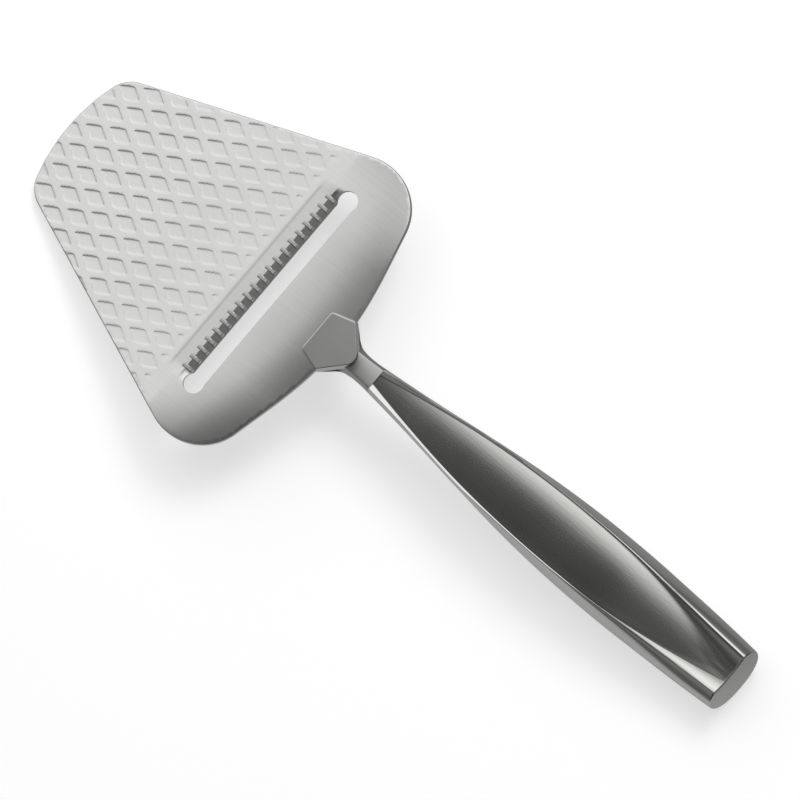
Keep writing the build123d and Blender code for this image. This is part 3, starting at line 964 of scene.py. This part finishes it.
def paper_material():
    """Matt paper with a glow for the camera, and a glow of its own in mirrors."""
    paper = bpy.data.materials.new("paper")
    paper.use_nodes = True
    nodes, links = paper.node_tree.nodes, paper.node_tree.links
    matt = nodes["Principled BSDF"]
    matt.inputs["Base Color"].default_value = (paper_tone, paper_tone, paper_tone, 1)
    matt.inputs["Roughness"].default_value = paper_roughness
    matt.inputs["Specular IOR Level"].default_value = paper_gloss
    seen = nodes.new("ShaderNodeLightPath")
    visible = math_node(nodes, links, "MULTIPLY", seen.outputs["Is Camera Ray"])
    visible.node.inputs[1].default_value = camera_glow
    glow, mirrored_glow = nodes.new("ShaderNodeEmission"), nodes.new("ShaderNodeEmission")
    both, pick = nodes.new("ShaderNodeAddShader"), nodes.new("ShaderNodeMixShader")
    spot = nodes.new("ShaderNodeTexCoord")
    place = nodes.new("ShaderNodeSeparateXYZ")
    links.new(spot.outputs["Object"], place.inputs["Vector"])
    across_floor = ramp_over(nodes, links, place.outputs["Y"], -1.0, 1.0, mirrored_levels)
    links.new(across_floor, mirrored_glow.inputs["Strength"])
    links.new(visible, glow.inputs["Strength"])
    links.new(matt.outputs[0], both.inputs[0])
    links.new(glow.outputs[0], both.inputs[1])
    links.new(seen.outputs["Is Glossy Ray"], pick.inputs[0])
    links.new(both.outputs[0], pick.inputs[1])
    links.new(mirrored_glow.outputs[0], pick.inputs[2])
    links.new(pick.outputs[0], nodes["Material Output"].inputs["Surface"])
    return paper


floor_mesh = bpy.data.meshes.new("floor")
floor_corners = [(x * floor_reach, y * floor_reach, 0) for x, y in [(-1, -1), (1, -1), (1, 1), (-1, 1)]]
floor_mesh.from_pydata(floor_corners, [], [(0, 1, 2, 3)])
floor = bpy.data.objects.new("floor", floor_mesh)
bpy.context.scene.collection.objects.link(floor)
floor.data.materials.append(paper_material())
print("floor:", 2 * floor_reach, "m wide")

# %% [markdown]
# ## The sky
# Polished steel shows what it mirrors, so the sky is what paints it. The level parts, which are the
# pads and the leaf, mirror the place straight above, and there the sky has a dark cap. The flat of
# the blade mirrors a band further forward, which is bright. Three more ramps, along Y, X and Z, shade
# the left side, the side behind the handle's end, and the horizon. The sky's brightness is the
# product of all four, so each can be set by itself.

# %% The sky
cap_middle = (0.0574, 0.0698, 0.9959)
cap_levels = [
    (0, .06), (12, .08), (14, .13), (16.5, .27), (19, .5), (22, .80), (26, 1.03), (60, 1.12), (180, 1.0)]
across_levels = [
    (-1, .28), (-.84, .28), (-.72, 1.2), (-.52, 1.35), (-.38, 1.1), (.10, 1.0),
    (.24, .62), (.36, .34), (.50, .24), (.70, .2), (1, .2)]
behind_levels = [(-1, .15), (-.32, .15), (-.17, 1.0), (1, 1.0)]
low_levels = [(-1, .5), (.0, .5), (.30, .62), (.50, 1.0), (1, 1.0)]


def studio_world():
    """A white world whose strength is the product of the four ramps over the direction of a ray."""
    world = bpy.data.worlds.new("studio")
    world.use_nodes = True
    nodes, links = world.node_tree.nodes, world.node_tree.links
    background = nodes["Background"]
    background.inputs["Color"].default_value = (1.0, 1.0, 1.0, 1.0)
    look = nodes.new("ShaderNodeTexCoord")
    split = nodes.new("ShaderNodeSeparateXYZ")
    links.new(look.outputs["Generated"], split.inputs["Vector"])
    zenith = nodes.new("ShaderNodeVectorMath")
    zenith.operation = "DOT_PRODUCT"
    zenith.inputs[1].default_value = cap_middle
    links.new(look.outputs["Generated"], zenith.inputs[0])
    angle = math_node(nodes, links, "ARCCOSINE", zenith.outputs["Value"])
    cap_stops = [(np.radians(at), level) for at, level in cap_levels]
    level = ramp_over(nodes, links, angle, 0.0, np.pi, cap_stops)
    for axis, stops in (("Y", across_levels), ("X", behind_levels), ("Z", low_levels)):
        shade = ramp_over(nodes, links, split.outputs[axis], -1.0, 1.0, stops)
        level = math_node(nodes, links, "MULTIPLY", level, shade)
    links.new(level, background.inputs["Strength"])
    return world


bpy.context.scene.world = studio_world()
print("sky:", len(bpy.context.scene.world.node_tree.nodes), "nodes")

# %% [markdown]
# ## The lamp and the camera
# One soft square lamp stands on the slicer's right and gives the soft shadow on its left. Steel would
# mirror it as a bright patch, so it is hidden from mirrors. The camera looks almost straight down
# through a long lens, so the slicer is seen with hardly any perspective.

# %% The lamp and the camera
lamp_size, lamp_power, lamp_place = 0.32, 2.1, (0.12, -0.62, 0.64)
softbox = bpy.data.lights.new("softbox", "AREA")
softbox.size, softbox.energy = lamp_size, lamp_power
lamp = bpy.data.objects.new("softbox", softbox)
lamp.location = lamp_place
lamp.rotation_euler = lamp.location.to_track_quat("Z", "Y").to_euler()
lamp.visible_glossy = False
bpy.context.scene.collection.objects.link(lamp)

lens_length, sensor_width, far_clip = 324.99, 36.0, 20.0
camera_place, camera_turn = (-0.36180, 0.07740, 1.84976), (0.15718, 0.12079, -2.43277)
camera_data = bpy.data.cameras.new("camera")
camera_data.lens, camera_data.sensor_width, camera_data.clip_end = lens_length, sensor_width, far_clip
camera = bpy.data.objects.new("camera", camera_data)
camera.location, camera.rotation_euler = camera_place, camera_turn
bpy.context.scene.collection.objects.link(camera)
bpy.context.scene.camera = camera
bpy.context.scene.view_settings.view_transform = "Standard"
print("lamp at", lamp_place, "and camera", round(camera.location.length, 3), "m from the slicer's middle")
